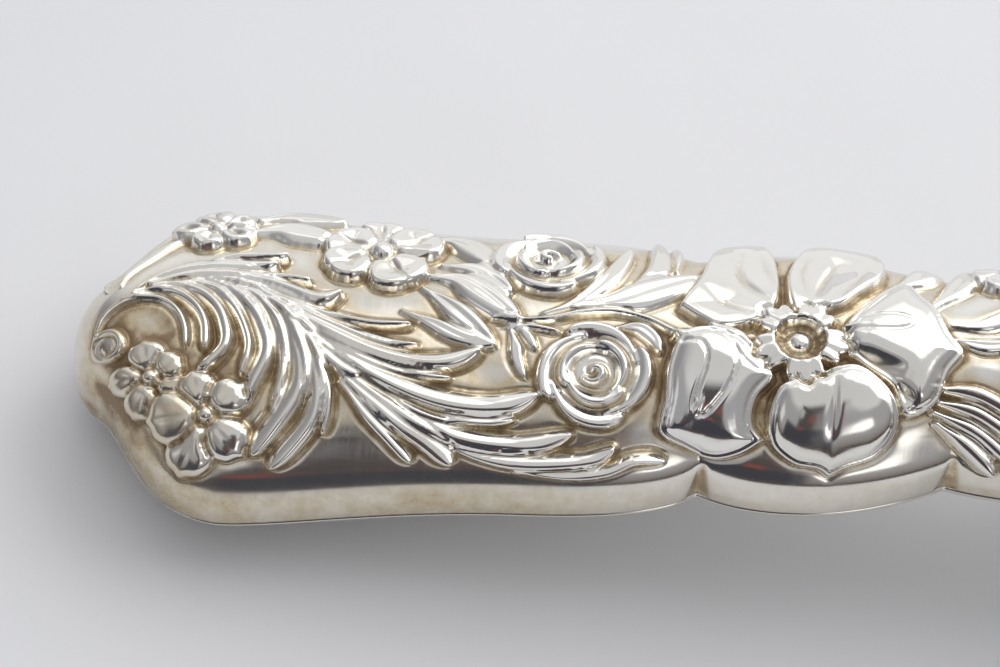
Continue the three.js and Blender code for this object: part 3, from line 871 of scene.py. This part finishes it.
class Stuff(Nodes):
    """The nodes of one material."""

    def __init__(self, name):
        self.material = bpy.data.materials.new(name)
        self.material.use_nodes = True
        super().__init__(self.material.node_tree)
        self.shader = self.tree.nodes["Principled BSDF"]

    def position(self, scale):
        here = self.node("TexCoord").outputs["Object"]
        return self.node("Mapping", {"Vector": here, "Scale": scale}).outputs[0]

    def noise(self, vector, scale, detail=3.0, roughness=0.55):
        inputs = {"Vector": vector, "Scale": scale, "Detail": detail, "Roughness": roughness}
        return self.node("TexNoise", inputs).outputs["Fac"]

    def ramp(self, factor, stops):
        made = self.node("ValToRGB", {"Fac": factor})
        colours = made.color_ramp.elements
        while len(colours) < len(stops):
            colours.new(0.5)
        for element, (place_at, colour) in zip(colours, stops):
            element.position = place_at
            element.color = (*colour, 1)
        return made.outputs["Color"]

    def between(self, noise, low, high):
        return self.spread(noise, 0.3, 0.7, low, high)

    def bump(self, height, distance, strength=1.0, **under):
        inputs = {"Height": height, "Distance": distance, "Strength": strength, **under}
        return self.node("Bump", inputs).outputs[0]

    def finish(self, **inputs):
        """Feeds the shader, whose sockets are named here as base_color is."""
        self.feed(self.shader, {name.replace("_", " ").title(): inputs[name] for name in inputs})
        return self.material


def silver(name, wear=1.0):
    """Polished silver: bright on what a cloth reaches, brown where it doesn't, and darker on the edge bands
    where shade is painted in.
    """
    n = Stuff(name)
    stain = n.node("Attribute", attribute_name="tarnish_and_shade").outputs["Fac"]
    here = n.position((1, 1, 1))
    cloud = n.noise(here, 420, 5, 0.65)
    broad = n.noise(here, 60, 2)
    # The tarnish attribute holds real tarnish and also painted shade on the edge bands, so this darkening is
    # partly painted shade.
    mottled = n.math("MULTIPLY", stain, n.between(cloud, 0.5, 1.45), clamp=True)
    film = n.math("MULTIPLY", n.between(broad, 0.05, 0.2), wear)
    dirt_and_shade = n.math("ADD", mottled, film, clamp=True)
    clean, hazed = (0.92, 0.91, 0.885), (0.755, 0.715, 0.63)
    brown, black = (0.62, 0.52, 0.355), (0.3, 0.21, 0.12)
    colour = n.ramp(dirt_and_shade, [(0, clean), (0.3, hazed), (0.65, brown), (1, black)])
    scratch_a = n.noise(n.position((3.5, 0.12, 0.3)), 900, 2)
    scratch_b = n.noise(n.position((0.15, 2.6, 1.4)), 800, 2)
    dents = n.noise(here, 90, 1)
    scratches = n.math("MAXIMUM", scratch_a, scratch_b)
    ripple = n.bump(dents, 0.00012, 0.7)
    normal = n.bump(scratches, 0.000004, 0.5 * wear, Normal=ripple)
    gloss = n.math("ADD", n.between(scratches, 0.035, 0.1), n.math("MULTIPLY", dirt_and_shade, 0.3))
    metal = n.math("SUBTRACT", 1.0, n.math("MULTIPLY", n.math("MULTIPLY", dirt_and_shade, dirt_and_shade), 0.6))
    return n.finish(base_color=colour, metallic=metal, roughness=gloss, normal=normal)


def grained(name, light, dark, roughness):
    """Wood with its grain along the brush."""
    n = Stuff(name)
    grain = n.noise(n.position((18, 160, 160)), 6, 6, 0.65)
    colour = n.ramp(grain, [(0.3, dark), (0.7, light)])
    pores = n.noise(n.position((120, 900, 900)), 3, 3)
    rough = n.between(pores, roughness - 0.08, roughness + 0.12)
    return n.finish(base_color=colour, roughness=rough, normal=n.bump(pores, 0.00005, 0.5))


def mottled(name, light, dark, roughness, metallic=0.0, scale=500, depth=0.00005):
    """A plain stuff with small changes of colour, gloss and height."""
    n = Stuff(name)
    spots = n.noise(n.position((1, 1, 1)), scale, 5, 0.6)
    colour = n.ramp(spots, [(0.25, dark), (0.75, light)])
    rough = n.between(spots, roughness + 0.1, roughness - 0.08)
    bumps = n.bump(spots, depth, 0.6)
    return n.finish(base_color=colour, metallic=metallic, roughness=rough, normal=bumps)


def bristle_material():
    """Natural bristle: each one its own tone, darker towards the root and pale at the cut tip."""
    n = Stuff("boar_bristle")
    tone = n.node("Attribute", attribute_name="tone").outputs["Fac"]
    dark, brown, tan, pale = (0.05, 0.03, 0.02), (0.22, 0.13, 0.065), (0.5, 0.34, 0.18), (0.72, 0.58, 0.38)
    colour = n.ramp(tone, [(0, dark), (0.35, brown), (0.7, tan), (1, pale)])
    streak = n.noise(n.position((900, 900, 60)), 3, 2)
    return n.finish(base_color=colour, roughness=n.between(streak, 0.28, 0.5))


SILVER = silver("chased_silver")
PLAIN_SILVER = silver("plain_silver", 1.3)
EBONY = grained("ebonised_wood", (0.06, 0.035, 0.024), (0.018, 0.01, 0.007), 0.3)
PINE = grained("raw_pine", (0.62, 0.45, 0.26), (0.4, 0.26, 0.13), 0.7)
PITCH = mottled("pitch_cement", (0.05, 0.042, 0.035), (0.02, 0.016, 0.013), 0.75)
STEEL = mottled("steel_bar", (0.42, 0.42, 0.44), (0.2, 0.19, 0.19), 0.45, 1.0, 900, 0.00002)
BRASS = mottled("brass_pins", (0.8, 0.6, 0.28), (0.5, 0.34, 0.15), 0.28, 1.0, 1500, 0.00001)
BRISTLE = bristle_material()

# ---------- silver pieces ----------


def sheet_normals(points):
    across = np.gradient(points, axis=1)
    ahead = np.gradient(points, axis=0)
    normal = np.cross(ahead, across)
    return normal / np.maximum(np.linalg.norm(normal, axis=-1, keepdims=True), 1e-9)


def back_shell():
    chase()
    # The tarnish values are real tarnish plus painted shade on the bands along the edges.
    stain = tarnish_and_shade()
    relief.h *= smoothstep(relief.reach, 0.5, 3)[:, None]
    outer = relief.base + sheet_normals(relief.base) * relief.h[..., None]
    stations = relief.stations[:, None]
    angle = np.linspace(0, math.pi, 15)[None, :]
    width, height = half_width(stations), crest(stations)
    inner_width = np.maximum(width - SHEET, 0.4 * width)
    inner_height = np.maximum(height - SHEET, 0.4 * height)
    inner = section(stations, angle, inner_width, inner_height, squareness(stations))
    points, faces = thin_sheet(place(outer), place(inner))
    piece = mesh_object("silver_back", points, faces, SILVER)
    stained = numbered(outer, 0)[0]
    values = np.zeros(len(points))
    values[stained.ravel()] = stain.ravel()
    paint(piece, "tarnish_and_shade", values)
    stand_for(piece, "back_shell")


def under_shell():
    x = relief.stations[relief.stations < NECK_END][::2]
    x = np.append(x, NECK_END)[:, None]
    angle = np.linspace(0, math.pi, 49)[None, :]

    def surface(inset):
        width = np.maximum(half_width(x) - inset, 0.3 * half_width(x))
        depth = np.maximum(under_depth(x) - inset, 0.3 * under_depth(x))
        points = section(x, angle, width, depth, 1.0)
        points[..., 2] = -points[..., 2] - HALF_GAP
        return place(points)

    points, faces = thin_sheet(surface(SHEET), surface(0))
    piece = mesh_object("silver_under", points, faces, PLAIN_SILVER)
    stand_for(piece, "handle_under_shell")


# ---------- the head's underside ----------

PLATE_LEVELS = (-1.1, -0.3)
PLATE_INSET = 0.25
BEZEL_STEPS = 720
BEZEL_OVAL = (58.5, 37.0)
BEZEL_WALL = 0.9
BEZEL_LEVELS = (-1.9, 1.5)
BEAD = 0.35  # radius of the round edge below the collar
BOARD_OVAL = (57.3, 35.8)


def rim_radius(angle):
    """Distance from the head's centre to the bezel's outer edge, in each direction."""
    rim = HALF_OUTLINE[HALF_OUTLINE[:, 0] > NECK_END + 0.3] - (HEAD_CENTRE, PLATE_INSET)
    rim[-1, 1] = 0
    neck_end = np.linspace((rim[0, 0], 0), rim[0], 60)
    points = np.vstack([neck_end, rim])
    bearing = np.arctan2(points[:, 1], points[:, 0])
    order = np.argsort(bearing)
    folded = np.abs((angle + math.pi) % (2 * math.pi) - math.pi)
    return np.interp(folded, bearing[order], np.hypot(points[:, 0], points[:, 1])[order])


def oval_radius(angle, a, b):
    return a * b / np.hypot(b * np.cos(angle), a * np.sin(angle))


def revolve(name, rings, material, sharp):
    """A closed band through rings of points in the head's plane, each ring as (radius, height)."""
    count = len(rings[0][0])
    angle = circle_turns(count)
    points = []
    for radius, height in rings:
        x = HEAD_CENTRE + SHIFT + radius * np.cos(angle)
        z = np.full(count, SEAM_HEIGHT + height)
        points.append(np.stack([x, radius * np.sin(angle), z], axis=1) * MM)
    faces = band(0, count, len(rings), closed=True)
    made = mesh_object(name, np.vstack(points), faces, material, sharp=sharp)
    turn_outward(made.data)
    return made


def head_bezel():
    """The plate that closes the head: a rolled outer edge, a step, and a beaded collar for the board."""
    angle = circle_turns(BEZEL_STEPS)
    rim = rim_radius(angle)
    inner = oval_radius(angle, *BEZEL_OVAL)
    low, high = PLATE_LEVELS
    half = (high - low) / 2
    rolled = [math.radians(turn) for turn in np.linspace(-90, 90, 7)]
    rings = [(rim - half + half * math.cos(a), low + half + half * math.sin(a)) for a in rolled]
    bottom, top = BEZEL_LEVELS
    middle = inner - BEZEL_WALL / 2
    rings += [(inner, high), (inner, top), (middle - BEZEL_WALL / 2, top)]
    rings.append((middle - BEZEL_WALL / 2, bottom + 0.3))
    for turn in np.linspace(180, 360, 7):
        a = math.radians(turn)
        rings.append((middle + BEZEL_WALL / 2 * math.cos(a), bottom + BEAD * (1 + math.sin(a))))
    rings += [(inner, low - 0.1), (inner + BEAD, low)]
    piece = revolve("silver_bezel", rings, PLAIN_SILVER, 40)
    stand_for(piece, "head_bezel")


# Tufts stand in rows along the brush, and neighbouring rows are staggered.
ROWS = 11
ROW_PITCH = 5.9
TUFT_PITCH = 6.4
FIELD = (52.0, 31.0)
TUFT_ROOT = 1.15
TUFT_TIP = 2.1
HOLE = 1.35
BRISTLES = 34  # in each tuft
BRISTLE_SIDES = 3
GOLDEN_TURN = 2.39996  # spreads the bristles evenly over a tuft


def row_centres(row):
    y = (row - (ROWS - 1) / 2) * ROW_PITCH
    half = FIELD[0] * math.sqrt(1 - (y / FIELD[1]) ** 2)
    count = int(2 * half / TUFT_PITCH) + 1
    parity = int(row + 1 - (ROWS - 1) / 2 + ROWS - 1) % 2
    count -= 1 if count % 2 != parity else 0
    return [(HEAD_CENTRE + (i - (count - 1) / 2) * TUFT_PITCH, y) for i in range(count)]


PINS = 6
PIN_OVAL = (55.3, 33.7)


def pin_centres():
    angles = [math.pi * (2 * i + 1) / PINS for i in range(PINS)]
    return [(HEAD_CENTRE + PIN_OVAL[0] * math.cos(a), PIN_OVAL[1] * math.sin(a)) for a in angles]


def bristle_board():
    """The drilled board, its edges and the mouths of its holes eased."""
    curve = bpy.data.curves.new("board_outline", "CURVE")
    curve.dimensions = "2D"
    curve.fill_mode = "BOTH"

    def loop(x, y, a, b, steps):
        line = curve.splines.new("POLY")
        line.points.add(steps - 1)
        line.use_cyclic_u = True
        for point, t in zip(line.points, circle_turns(steps)):
            point.co = ((x + a * math.cos(t)) * MM, (y + b * math.sin(t)) * MM, 0, 1)

    ease = 0.25
    loop(HEAD_CENTRE + SHIFT, 0, BOARD_OVAL[0] - ease, BOARD_OVAL[1] - ease, 160)
    for row in range(ROWS):
        for x, y in row_centres(row):
            loop(x + SHIFT, y, HOLE + ease, HOLE + ease, 14)
    bottom, top = BOARD_LOW[2], BOARD_HIGH[2]
    curve.extrude = (top - bottom) / 2 - ease * MM
    curve.bevel_depth = ease * MM
    curve.bevel_resolution = 1
    board = add_object("board_curve", curve)
    evaluated = board.evaluated_get(bpy.context.evaluated_depsgraph_get())
    mesh = bpy.data.meshes.new_from_object(evaluated)
    bpy.data.objects.remove(board)
    mesh.transform(Matrix.Translation((0, 0, (top + bottom) / 2)))
    turn_outward(mesh, weld=1e-6)
    stand_for(finished("ebony_board", mesh, EBONY, sharp=50), "bristle_board")


def bristle_row(row, random):
    """Every bristle of a row as its own tapered rod, splayed a little and cut level at the tips."""
    levels = [BOARD_HIGH[2] / MM - 0.3, BOARD_LOW[2] / MM, 6.0, 0.0]
    points, faces, tones = [], [], []
    for x, y in row_centres(row):
        lean = random.normal(0, 0.25, 2)
        for k in range(BRISTLES):
            r = math.sqrt((k + 0.5) / BRISTLES)
            a = k * GOLDEN_TURN + random.uniform(-0.3, 0.3)
            out = r * np.array([math.cos(a), math.sin(a)])
            root = TUFT_ROOT * 0.9 * out
            tip = TUFT_TIP * out + lean + random.normal(0, 0.12, 2)
            cut = random.uniform(0, 0.35)
            size = random.uniform(0.1, 0.14)
            tone = np.clip(random.normal(0.55, 0.2), 0, 1)
            start = len(points)
            for level in levels:
                share = np.clip((levels[1] - level) / levels[1], 0, 1)
                middle = root + (tip - root) * share**1.4
                radius = size * (1 - 0.25 * share)
                for c in circle_turns(BRISTLE_SIDES) + a:
                    px, py = middle + radius * np.array([math.cos(c), math.sin(c)])
                    points.append((x + SHIFT + px, y + py, level or cut))
                    tones.append(np.clip(tone + 0.25 * share - 0.12, 0, 1))
            faces += [face[::-1] for face in band(start, BRISTLE_SIDES, len(levels))]
            end = len(points) - 1
            faces += [(start, start + 1, start + 2), (end, end - 1, end - 2)]
    return points, faces, tones


WIRE_RINGS = 40
WIRE_SIDES = 8
WIRE_SIZE = (0.33, 0.28)


def drawing_wire(row, start):
    """The wire that the row's tufts are doubled over, as a low bar with narrowed ends."""
    centres = row_centres(row)
    height = BOARD_HIGH[2] / MM + 0.45
    y, turns = centres[0][1], circle_turns(WIRE_SIDES)
    points = []
    for x in np.linspace(centres[0][0], centres[-1][0], WIRE_RINGS):
        swell = 1.0 if centres[0][0] < x < centres[-1][0] else 0.5
        across, up = swell * WIRE_SIZE[0], swell * WIRE_SIZE[1]
        points += [(x + SHIFT, y + across * math.cos(a), height + up * math.sin(a)) for a in turns]
    first = [start + k for k in range(WIRE_SIDES)]
    last = [k + WIRE_SIDES * (WIRE_RINGS - 1) for k in first]
    return points, [first[::-1], last] + band(start, WIRE_SIDES, WIRE_RINGS)


def bristles():
    random = np.random.default_rng(7)
    for row in range(ROWS):
        points, faces, tones = bristle_row(row, random)
        wire_points, wire_faces = drawing_wire(row, len(points))
        points = np.array(points + wire_points) * MM
        made = mesh_object(f"bristles_{row + 1:02d}", points, faces + wire_faces, BRISTLE)
        paint(made, "tone", tones + [0.4] * len(wire_points))
        stand_for(made, f"bristle_row_{row + 1:02d}")


# A pin from its head to the end of its shank, as radius and height.
PIN_DOME = [(0.35, -0.6), (0.7, -0.5), (0.98, -0.32), (1.15, -0.1), (1.2, 0.0)]
PIN_PROFILE = PIN_DOME + [(0.5, 0.02), (0.42, 0.2), (0.42, 3.9)]
PIN_ENDS = (-0.62, 4.0)
PIN_SIDES = 20


def pins():
    """Domed pins that hold the board, each a turned shape with a slight waist under its head."""
    face = BOARD_LOW[2] / MM - 0.05
    last = 2 + (len(PIN_PROFILE) - 1) * PIN_SIDES
    faces = band(2, PIN_SIDES, len(PIN_PROFILE))
    for k in range(PIN_SIDES):
        after = (k + 1) % PIN_SIDES
        faces += [(0, 2 + after, 2 + k), (1, last + k, last + after)]
    for number, (x, y) in enumerate(pin_centres(), 1):
        points = [(x + SHIFT, y, face + height) for height in PIN_ENDS]
        for radius, height in PIN_PROFILE:
            for a in circle_turns(PIN_SIDES):
                across, along = radius * math.sin(a), radius * math.cos(a)
                points.append((x + SHIFT + along, y + across, face + height))
        made = mesh_object(f"pin_{number}", np.array(points) * MM, faces, BRASS, sharp=50)
        stand_for(made, f"board_pin_{number}")


def hidden_pieces():
    """The CAD's own solids inside the silver keep their shape and get their stuff."""
    stuffs = {"stiffening_tang": STEEL, "handle_cement": PITCH, "head_cement": PITCH, "cover_board": PINE}
    for name, material in stuffs.items():
        for place_in in frame["nodes"][name].material_slots:
            place_in.material = material


# ---------- the setting ----------


# Soft patches of the room: side, middle and half width of the bearing (as a sine from straight ahead
# of the lobes), lowest and highest sine of the height, softness, colour. Later ones cover earlier ones.
FAR_PATCHES = [
    ("far", 0.3, 0.5, 0.45, 0.85, 0.12, (1.25, 1.25, 1.23)),
    ("far", -0.45, 0.16, 0.5, 0.86, 0.08, (1.15, 1.15, 1.17)),
    ("far", 0.75, 0.2, 0.1, 0.5, 0.1, (1.5, 1.5, 1.5)),
]
NEAR_PATCHES = [
    ("near", 0.38, 0.2, 0.42, 0.68, 0.08, (1.5, 1.49, 1.46)),
    ("near", -0.9, 0.1, 0.3, 0.6, 0.06, (0.7, 0.71, 0.75)),
    ("near", -0.28, 0.44, -0.1, 0.62, 0.08, (0.05, 0.052, 0.065)),
    ("near", -0.14, 0.26, 0.5, 0.92, 0.08, (0.07, 0.065, 0.068)),
    ("near", -0.22, 0.1, 0.5, 0.62, 0.04, (0.22, 0.07, 0.06)),
    ("near", -0.02, 0.09, 0.66, 0.78, 0.04, (0.2, 0.075, 0.065)),
    ("near", -0.3, 0.07, 0.7, 0.82, 0.04, (0.5, 0.5, 0.53)),
]
BACKDROP = (0.62, 0.625, 0.64)  # what the camera sees beyond the floor


def world():
    """A bright white room with a darker low band and a dark figure on the near side."""
    made = bpy.data.worlds.new("studio")
    bpy.context.scene.world = made
    made.use_nodes = True
    made.node_tree.nodes.clear()
    n = Nodes(made.node_tree)

    def fade(value, low, high):
        return n.spread(value, low, high, kind="SMOOTHSTEP")

    def below(limit, value, soft):
        return fade(n.math("SUBTRACT", limit, value), 0, soft)

    def mix(factor, *colours):
        first, second = ((*c, 1) if isinstance(c, tuple) else c for c in colours)
        return n.node("Mix", {0: factor, 6: first, 7: second}, data_type="RGBA").outputs[2]

    def covered(room, patches):
        for side, middle, half, low, high, soft, colour in patches:
            off = n.math("ABSOLUTE", n.math("SUBTRACT", bearing, middle))
            inside = sides[side]
            for part in (below(half, off, soft), fade(z, low, low + soft), below(high, z, soft)):
                inside = n.math("MULTIPLY", inside, part)
            room = mix(inside, room, colour)
        return room

    x, y, z = n.node("SeparateXYZ", {0: n.node("TexCoord").outputs["Generated"]}).outputs
    level = n.math("SQRT", n.math("ADD", n.math("MULTIPLY", x, x), n.math("MULTIPLY", y, y)))
    level = n.math("MAXIMUM", level, 0.001)
    bearing = n.math("DIVIDE", x, level)
    sides = {"near": fade(n.math("DIVIDE", y, level), 0.15, -0.15), "far": fade(y, -0.1, 0.2)}
    room = mix(fade(z, 0.3, 0.98), (0.92, 0.93, 0.95), (0.62, 0.62, 0.63))
    room = covered(room, FAR_PATCHES)
    room = mix(fade(x, -0.35, -0.85), room, (0.3, 0.3, 0.32))
    wall = mix(fade(z, 0.05, 0.5), (0.2, 0.18, 0.17), (0.36, 0.36, 0.38))
    room = mix(n.math("MULTIPLY", sides["near"], below(0.84, z, 0.1)), room, wall)
    room = covered(room, NEAR_PATCHES)
    room = mix(n.math("MULTIPLY", sides["near"], below(0.16, z, 0.1)), room, (0.075, 0.06, 0.055))
    shown = mix(n.node("LightPath").outputs["Is Camera Ray"], room, BACKDROP)
    n.node("OutputWorld", {"Surface": n.node("Background", {"Color": shown}).outputs[0]})


FLOOR_HALF = 4.0


def floor():
    n = Stuff("paper_floor")
    spots = n.noise(n.position((1, 1, 1)), 30, 2)
    colour = n.ramp(spots, [(0.3, (0.8, 0.805, 0.82)), (0.7, (0.82, 0.825, 0.84))])
    n.finish(base_color=colour, roughness=0.85)
    corners = FLOOR_HALF * np.array([(-1, -1, 0), (1, -1, 0), (1, 1, 0), (-1, 1, 0)])
    mesh_object("floor", corners, [(0, 1, 2, 3)], n.material, smooth=False)


def lamp(name, kind, place_at, target, energy, **settings):
    """A lamp that is turned from its place to a target. Only the direction counts for a sun."""
    light = bpy.data.lights.new(name, kind)
    light.energy = energy
    for key, value in settings.items():
        setattr(light, key, value)
    made = add_object(name, light)
    made.location = place_at
    made.rotation_euler = (Vector(place_at) - Vector(target)).to_track_quat("Z", "Y").to_euler()


# The camera looks down at the handle from the near side.
VIEW_ELEVATION = math.radians(54.9)
VIEW_AZIMUTH = math.radians(5.7)
VIEW_ROLL = math.radians(-2.9)
VIEW_DISTANCE = 0.1714
VIEW_LENS = 66.6
VIEW_CENTRE = (39.8, 2.6, 3.5)  # on the handle before it droops, in millimetres


def camera():
    """The view is given beside the undrooped handle, so it turns with the handle."""
    el, az = VIEW_ELEVATION, VIEW_AZIMUTH
    forward = Vector((-math.sin(az) * math.cos(el), math.cos(az) * math.cos(el), -math.sin(el)))
    right = Vector((math.cos(az), math.sin(az), 0))
    up = right.cross(forward)
    level = Matrix((right, up, -forward)).transposed()
    turned = level @ Matrix.Rotation(VIEW_ROLL, 3, "Z")
    droop = Matrix.Rotation(-DROOP, 3, "Y")
    centre = Vector(place(np.array(VIEW_CENTRE, float)))
    lens = bpy.data.cameras.new("camera")
    lens.sensor_width = 36.0
    lens.lens = VIEW_LENS
    lens.clip_start = 0.005
    made = add_object("camera", lens)
    basis = (droop @ turned).to_4x4()
    made.matrix_world = Matrix.Translation(centre - droop @ forward * VIEW_DISTANCE) @ basis
    bpy.context.scene.camera = made


def setting():
    world()
    floor()
    lamp("sky", "SUN", (0.2, 0.45, 0.8), (0, 0, 0), 0.5, angle=math.radians(50))
    lamp("window", "AREA", (0.34, 0.24, 0.42), (-0.05, 0, 0), 1.25, shape="SQUARE", size=0.5)
    camera()
    bpy.context.scene.view_settings.view_transform = "Standard"


back_shell()
under_shell()
head_bezel()
bristle_board()
bristles()
pins()
hidden_pieces()
setting()
